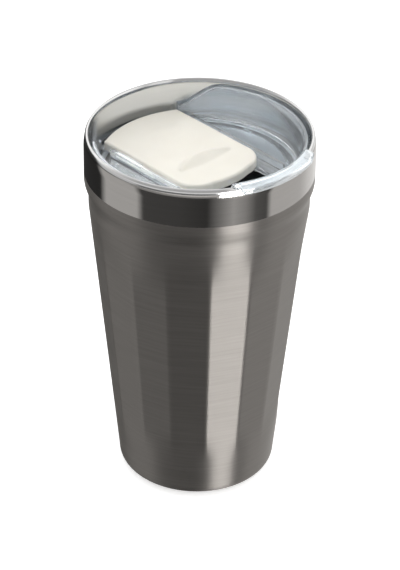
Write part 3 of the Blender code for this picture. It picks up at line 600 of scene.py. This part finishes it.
def lipLoop(angle):
    # towards each end the lip draws in over the rim and its hook runs out
    inside = min(max((lid["lipHalf"] - abs(math.pi - angle)) / lid["lipEnd"], 0.0), 1.0)
    reach = math.sqrt(1 - (1 - min(inside / lipSection["drawEnd"], 1.0)) ** 2)
    hook = smooth((inside - lipSection["hookStart"]) / (1 - lipSection["hookStart"]))
    over, outside = rim + gap, rimRadius + gap
    drawnIn = rimRadius - lid["beadWidth"] / 2
    edge = drawnIn + reach * (outside + lid["lipOver"] - drawnIn)
    wide = edge - lipCrest
    crest = rim + lid["lipRise"] * (lipSection["endRise"] + (1 - lipSection["endRise"]) * reach)
    tip = over - hook * (gap + lid["lipHook"])
    side, sideFoot = [over + (1 - hook) * up * (crest - over) - hook * (gap + lid["lipHook"] * down)
                      for up, down in (lipSection["side"], lipSection["sideFoot"])]
    under = [edge - wide * share for share in lipSection["under"]]
    upper = [(lipFoot - lid["floor"] / 4, floorMiddle), (lipFoot, floorTop),
             (lipCrest, rim - lid["lipRise"] * lipSection["inside"])]
    upper += [(lipCrest + wide * out, crest - lid["lipWall"] * down) for out, down in lipSection["top"]]
    upper += [(edge, side), (edge, sideFoot), (edge - wide * lipSection["tip"], tip),
              (min(outside, under[0]), tip)]
    back = lidRadius(wallTop) - lid["join"]
    bead = lid["beadWidth"] * lipSection["beadEdge"]
    lower = [(min(outside, under[1]), over - hook * bead), (min(rimRadius - bead, under[2]), over),
             (min(rimRadius - lid["beadWidth"] + bead, under[3]), over),
             (back, rim - vessel["beadHeight"] / 2), (back, wallTop),
             (lidRadius(floorMiddle) - lid["join"], floorMiddle)]
    return [polar(r, angle, z) for r, z in softened(upper, lipSection["rounds"]) + lower]


def lipTurns():
    middle = lid["lipHalf"] - lid["lipEnd"]
    count, steps = lid["lipEndSteps"], lid["lipSteps"]
    end = [middle + lid["lipEnd"] * (1 - (i / count) ** lid["lipEndCrowd"]) for i in range(count)]
    across = [middle * (1 - 2 * i / steps) for i in range(steps + 1)]
    return end + across + [-turn for turn in end[::-1]]


def railOutline():
    front = -math.sqrt(lipFoot ** 2 - railOuter ** 2) - lid["wall"]
    half = lid["railWidth"] / 2
    shy = railInner + lid["railStep"]
    step = lid["railStepPlace"]
    outline = [(railOuter, front)]
    outline += arc(railInner + half, railBack - half, half, 0.0, 180.0, lid["railEndSteps"])
    return outline + [(railInner, step), (shy, step - lid["railStep"]), (shy, front)]


def portOutline():
    half, corner, steps = lid["portHalf"], lid["portCorner"], lid["cornerSteps"]
    reach = math.degrees(math.asin(half / portFront))
    outline = arc(0.0, 0.0, portFront, -90.0 - reach, -90.0 + reach, lid["portSteps"])
    outline += arc(half - corner, -portBack - corner, corner, 0.0, 90.0, steps)
    return outline + arc(corner - half, -portBack - corner, corner, 90.0, 180.0, steps)


def makeLid():
    body = spun("clearLid", plugProfile(), lid["steps"])
    tools = []
    wallEnd = math.pi - lid["lipHalf"] * lid["wallEndShare"]   # the wall's end is inside the lip
    steps = lid["wallSteps"]
    wallTurns = [lid["wallStart"] + (wallEnd - lid["wallStart"]) * i / steps for i in range(steps + 1)]
    for side in (1, -1):
        wall = lofted("wall%d" % side, [wallLoop(side * turn) for turn in wallTurns])
        tools.append(combine(body, wall, "UNION"))
        rail = extruded("rail%d" % side, [(side * x, y) for x, y in railOutline()], floorMiddle, railTop)
        tools.append(combine(body, rail, "UNION"))
    lip = lofted("lip", [lipLoop(math.pi - turn) for turn in lipTurns()])
    tools.append(combine(body, lip, "UNION"))
    slotFront = tongueBack - cover["tongueLength"] - cover["travel"] - gap
    for side in (1, -1):
        near, far = side * (railInner - lid["cutMargin"]), side * (railInner + lid["tongueSlot"])
        outline = [(near, slotFront), (far, slotFront), (far, tongueBack + gap), (near, tongueBack + gap)]
        slot = extruded("slot%d" % side, outline, slotLow, slotHigh)
        tools.append(combine(body, slot, "DIFFERENCE"))
    port = extruded("port", portOutline(), floorLow - lid["cutMargin"], floorTop + lid["cutMargin"])
    tools.append(combine(body, port, "DIFFERENCE"))
    return settle(body, tools, sharpAngle=30.0)


clearLid = makeLid()
dress(clearLid, clearPlastic)
claim(clearLid, "lid", "lid_body")
clearLid.visible_shadow = False   # clear plastic lets the light through to the steel below
print("lid joined:", len(clearLid.data.polygons), "faces")


# ribbed gasket in the skirt's groove

ribbed = {"ribs": 2, "web": 1.3 * mm, "steps": 144, "rounds": 2,
          "ribHeights": (0.30, 0.12, -0.05, -0.22)}   # root, tip, tip and root, in shares of the pitch


def gasketProfile():
    inner = lidRadius(grooveLow) - lid["grooveDepth"] + gap
    low, high = grooveLow + gap, grooveHigh - gap
    web = inner + ribbed["web"]
    section = [(inner, high), (web, high)]
    pitch = (high - low) / ribbed["ribs"]
    for i in range(ribbed["ribs"]):
        middle = high - pitch * (i + 0.5)
        tip = linerRadius(middle) - gap
        rib = [(r, middle + pitch * share) for r, share in zip((web, tip, tip, web), ribbed["ribHeights"])]
        section += softened(rib, ribbed["rounds"])
    return section + [(web, low), (inner, low)]


gasket = spun("ribbedGasket", gasketProfile(), ribbed["steps"])
dress(gasket, silicone)
claim(gasket, "lid", "lid_gasket")


# sliding cover: a plate with a thumb scoop and a bowed ridge, tongues at its sides and a pocket for the seal

def coverEnds(x):
    x = abs(x)
    ends = []
    for corner, radius, drop in ((cover["backCorner"], coverBack, 0.0),
                                 (cover["frontCorner"], portFront, portFront - coverFront)):
        straight = min(x, cover["half"] - corner)
        over = x - straight
        cut = corner - math.sqrt(max(corner ** 2 - over ** 2, 0.0))
        ends.append(math.sqrt(radius ** 2 - straight ** 2) - drop - cut)
    return ends[0], -ends[1]


def coverRelief(x, y):
    scoop = math.hypot(x, y - cover["scoopY"]) / cover["scoopRadius"]
    relief = -cover["scoopDepth"] * smooth(cover["scoopReach"] - scoop)
    span = 1.0 - (x / cover["ridgeHalf"]) ** 2
    if span <= 0.0:
        return relief
    back = cover["ridgeBack"] - cover["ridgeBow"] * (1.0 - span)
    behind = smooth((back + cover["ridgeRise"] - y) / cover["ridgeRise"])
    ahead = smooth((y - back + cover["ridgeDepth"] * span) / (cover["ridgeDepth"] * span + gap))
    return relief * (1.0 - behind) + cover["ridgeHeight"] * math.sqrt(span) * behind * ahead


def coverPlate():
    # a grid that is denser towards the edges, where the top rounds over
    across, along, probe = cover["across"], cover["along"], cover["probe"]
    bm = bmesh.new()
    columns = []
    for i in range(across + 1):
        x = cover["half"] * math.sin(math.pi / 2 * (2 * i / across - 1))
        back, front = coverEnds(x)
        inner = max(abs(x) - probe, 0.0)
        slope = abs(front - coverEnds(inner)[1]) / probe
        column = []
        for j in range(along + 1):
            y = (back + front) / 2 + math.sin(math.pi / 2 * (2 * j / along - 1)) * (back - front) / 2
            ahead = (y - front) / math.hypot(1.0, min(slope, cover["steepest"]))
            near = min(cover["half"] - abs(x), (back - y) * cover["backLean"], ahead)
            left = max(1.0 - near / cover["edge"], 0.0)
            drop = cover["edge"] * (1.0 - math.sqrt(max(1.0 - left * left, 0.0)))
            column.append(bm.verts.new((x, y, coverTop + coverRelief(x, y) - drop)))
        columns.append(column)
    for column, following in zip(columns, columns[1:]):
        for j in range(along):
            bm.faces.new((column[j], following[j], following[j + 1], column[j + 1]))
    border = [column[0] for column in columns] + columns[-1][1:]
    border += [column[-1] for column in columns[-2::-1]] + columns[0][-2:0:-1]
    foot = [bm.verts.new((vert.co.x, vert.co.y, coverLow)) for vert in border]
    for i in range(len(border)):
        j = (i + 1) % len(border)
        bm.faces.new((border[i], foot[i], foot[j], border[j]))
    bm.faces.new(foot)
    return meshObject("slidingCover", bm)


def makeCover():
    plate = coverPlate()
    tools = []
    reach = railInner + lid["tongueSlot"] - gap
    for side in (1, -1):
        near, far = side * (cover["half"] - lid["cutMargin"]), side * reach
        front = tongueBack - cover["tongueLength"]
        outline = [(near, front), (far, front), (far, tongueBack), (near, tongueBack)]
        tongue = extruded("tongue%d" % side, outline, slotLow + gap, slotHigh - gap)
        tools.append(combine(plate, tongue, "UNION"))
    half = lid["portHalf"] + cover["padMargin"] + gap
    back = -portBack + cover["travel"] + cover["padMargin"] + gap
    across = [half * (2 * i / cover["padSteps"] - 1) for i in range(cover["padSteps"] + 1)]
    outline = [(half, back), (-half, back)] + [(x, coverEnds(x)[1] + cover["padEdge"] - gap) for x in across]
    pocket = extruded("pocket", outline, coverLow - lid["cutMargin"], coverLow + cover["pad"] + gap)
    tools.append(combine(plate, pocket, "DIFFERENCE"))
    return settle(plate, tools, sharpAngle=50.0)


slidingCover = makeCover()
dress(slidingCover, creamPlastic)
claim(slidingCover, "slider", "slider_cover")
print("cover made:", len(slidingCover.data.polygons), "faces")


# the solids that are shown as they are

plainSolids = {"slider_seal": silicone, "copper_foil": copperFoil, "exhaust_seal_bead": solderGlass,
               "getter_pellet": getterAlloy, "getter_clip": linerSteel}
for node, finish in plainSolids.items():
    dress(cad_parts[node], finish)


# studio: pale floor, a soft surround with dark and bright panels, a large top light, and lamps that light
# the lid or the cover alone

studio = {
    "azimuth": -43.5, "elevation": 32.71, "distance": 1.10, "targetHeight": 80.6 * mm, "roll": 0.73,
    "focalPixels": 2791.1, "imageWidth": 400, "shiftX": 0.00465, "sensor": 36.0,
    "clipEnd": 20.0, "floorSize": 4.0, "floorDrop": 0.2 * mm, "floorColour": "#f7f7f7", "floorGlow": 0.55,
    "sky": 0.83, "brightest": 60.0, "tint": (1.0, 0.995, 0.985),
}
# brightness of the surround by bearing from the camera, in degrees, at four heights
panels = {
    "low": [(-180, 0.5), (-165, 0.04), (-115, 0.04), (-105, 0.72), (-64, 0.74), (-57, 0.10), (-20, 0.09),
            (8, 0.06), (22, 0.35), (34, 0.62), (46, 0.45), (58, 0.16), (70, 0.12), (76, 0.80), (118, 0.80),
            (135, 1.0), (160, 1.0), (180, 0.5)],
    "high": [(-180, 0.9), (-165, 0.05), (-115, 0.05), (-110, 0.80), (-75, 0.70), (-60, 0.45), (5, 0.45),
             (19, 0.5), (23, 60.0), (46, 60.0), (50, 0.6), (75, 0.9), (180, 0.9)],
    "strip": [(-180, 0.9), (-165, 0.15), (-115, 0.15), (-110, 0.80), (-75, 0.90), (-60, 1.1), (10, 1.1),
              (24, 0.8), (55, 0.6), (75, 0.9), (180, 0.9)],
    "upper": [(-180, 1.5), (-112, 1.5), (-92, 0.9), (-60, 0.55), (27, 0.55), (31, 1.2), (50, 1.2), (55, 0.8),
              (75, 1.5), (180, 1.5)],
}
# where each ring above the lowest starts and is full, by the sine of its elevation
climbs = {"high": (-0.24, -0.22), "strip": (-0.16, -0.14), "upper": (-0.02, 0.06), "sky": (0.60, 0.75)}
lamps = {
    "topSoftbox": {"place": (0.15, 0.35, 1.1), "aim": (0.0, 0.0, 0.1), "size": (1.0, 0.8), "power": 1.0},
    "lidSoftbox": {"place": (0.20, 0.30, 0.70), "aim": (0.0, 0.0, 0.135), "size": (0.5, 0.5), "power": 0.6,
                   "only": clearLid},
    "deckSpot": {"place": (-0.09, 0.08, 0.30), "aim": (-0.030, 0.010, 0.139), "size": (0.04, 0.04),
                 "power": 0.034, "spread": 25.0, "only": clearLid},
    "wallSpot": {"place": (-0.30, 0.05, 0.30), "aim": (0.020, 0.030, 0.143), "size": (0.03, 0.03),
                 "power": 0.016, "spread": 14.0, "only": clearLid},
    "coverSpot": {"place": (-0.35, 0.35, 0.36), "aim": (0.0, 0.0, 0.138), "size": (0.05, 0.05),
                  "power": 0.0034, "spread": 12.0, "only": slidingCover},
}

floorMesh = bmesh.new()
bmesh.ops.create_grid(floorMesh, x_segments=1, y_segments=1, size=studio["floorSize"])
floor = meshObject("paleFloor", floorMesh)
floor.data.transform(Matrix.Translation((0, 0, -studio["floorDrop"])))
floorPaint, floorTree, floorShader = newFinish("whiteFloorPaint")
floorLook = {"Base Color": toLinear(studio["floorColour"]), "Roughness": 0.9,
             "Emission Color": (1, 1, 1, 1), "Emission Strength": studio["floorGlow"]}
setSockets(floorTree, floorShader, floorLook, {})
dress(floor, floorPaint)
floor.visible_glossy = False
floor.visible_shadow = False

world = bpy.data.worlds.new("studioSurround")
bpy.context.scene.world = world
world.use_nodes = True
tree = world.node_tree
direction = addNode(tree, "ShaderNodeTexCoord").outputs["Generated"]
split = addNode(tree, "ShaderNodeSeparateXYZ", None, {0: direction}).outputs
south = addNode(tree, "ShaderNodeMath", {"operation": "MULTIPLY", 1: -1.0}, {0: split[1]}).outputs[0]
bearing = addNode(tree, "ShaderNodeMath", {"operation": "ARCTAN2"}, {0: split[0], 1: south}).outputs[0]
fromCamera = addNode(tree, "ShaderNodeMath", {"operation": "SUBTRACT", 1: math.radians(studio["azimuth"])},
                     {0: bearing}).outputs[0]
wrapped = addNode(tree, "ShaderNodeMath", {"operation": "WRAP", 1: math.pi, 2: -math.pi},
                  {0: fromCamera}).outputs[0]
around = addNode(tree, "ShaderNodeMapRange", {"From Min": -math.pi, "From Max": math.pi}, {"Value": wrapped})
rings = {}
for name, stops in panels.items():
    ramp = addNode(tree, "ShaderNodeValToRGB", None, {0: around.outputs[0]})
    marks = ramp.color_ramp.elements
    marks[0].position, marks[1].position = 0.0, 1.0
    for angle, _ in stops[1:-1]:
        marks.new((angle + 180) / 360)
    for mark, (_, value) in zip(marks, stops):
        share = value / studio["brightest"]
        mark.color = [share * part for part in studio["tint"]] + [1.0]
    rings[name] = ramp.outputs[0]
surround = rings["low"]
for name, (start, full) in climbs.items():
    climb = addNode(tree, "ShaderNodeMapRange", {"interpolation_type": "SMOOTHSTEP", "From Min": start,
                                                 "From Max": full}, {"Value": split[2]})
    mix = addNode(tree, "ShaderNodeMix", {"data_type": "RGBA"}, {0: climb.outputs[0], 6: surround})
    if name in rings:
        tree.links.new(rings[name], mix.inputs[7])
    else:
        mix.inputs[7].default_value = [studio["sky"] / studio["brightest"]] * 3 + [1.0]
    surround = mix.outputs[2]
background = tree.nodes["Background"]
background.inputs["Strength"].default_value = studio["brightest"]
tree.links.new(surround, background.inputs["Color"])
# the camera sees plain white behind the mug
backdrop = addNode(tree, "ShaderNodeBackground", {"Color": (1, 1, 1, 1), "Strength": 1.0})
seen = addNode(tree, "ShaderNodeLightPath").outputs["Is Camera Ray"]
pick = addNode(tree, "ShaderNodeMixShader", None, {0: seen, 1: background.outputs[0], 2: backdrop.outputs[0]})
tree.links.new(pick.outputs[0], tree.nodes["World Output"].inputs["Surface"])

for name, look in lamps.items():
    light = bpy.data.lights.new(name, "AREA")
    light.shape = "RECTANGLE"
    light.size, light.size_y = look["size"]
    light.energy = look["power"]
    light.spread = math.radians(look.get("spread", 180.0))
    lamp = bpy.data.objects.new(name, light)
    lamp.location = look["place"]
    lamp.rotation_euler = (Vector(look["aim"]) - lamp.location).to_track_quat("-Z", "Y").to_euler()
    lamp.visible_glossy = "spread" not in look
    bpy.context.scene.collection.objects.link(lamp)
    if "only" in look:   # such a lamp lights that piece alone
        lit = bpy.data.collections.new(name + "Pieces")
        lit.objects.link(look["only"])
        lamp.light_linking.receiver_collection = lit

camera = bpy.data.objects.new("camera", bpy.data.cameras.new("camera"))
turn, tilt = math.radians(studio["azimuth"]), math.radians(studio["elevation"])
away = Vector((math.sin(turn) * math.cos(tilt), -math.cos(turn) * math.cos(tilt), math.sin(tilt)))
camera.location = Vector((0, 0, studio["targetHeight"])) + away * studio["distance"]
aim = (-away).to_track_quat("-Z", "Y").to_matrix() @ Matrix.Rotation(math.radians(studio["roll"]), 3, "Z")
camera.rotation_euler = aim.to_euler()
camera.data.sensor_fit = "HORIZONTAL"
camera.data.sensor_width = studio["sensor"]
camera.data.lens = studio["focalPixels"] * studio["sensor"] / studio["imageWidth"]
camera.data.shift_x = studio["shiftX"]
camera.data.clip_end = studio["clipEnd"]
bpy.context.scene.collection.objects.link(camera)
bpy.context.scene.camera = camera
bpy.context.scene.view_settings.view_transform = "Standard"
print("studio set")
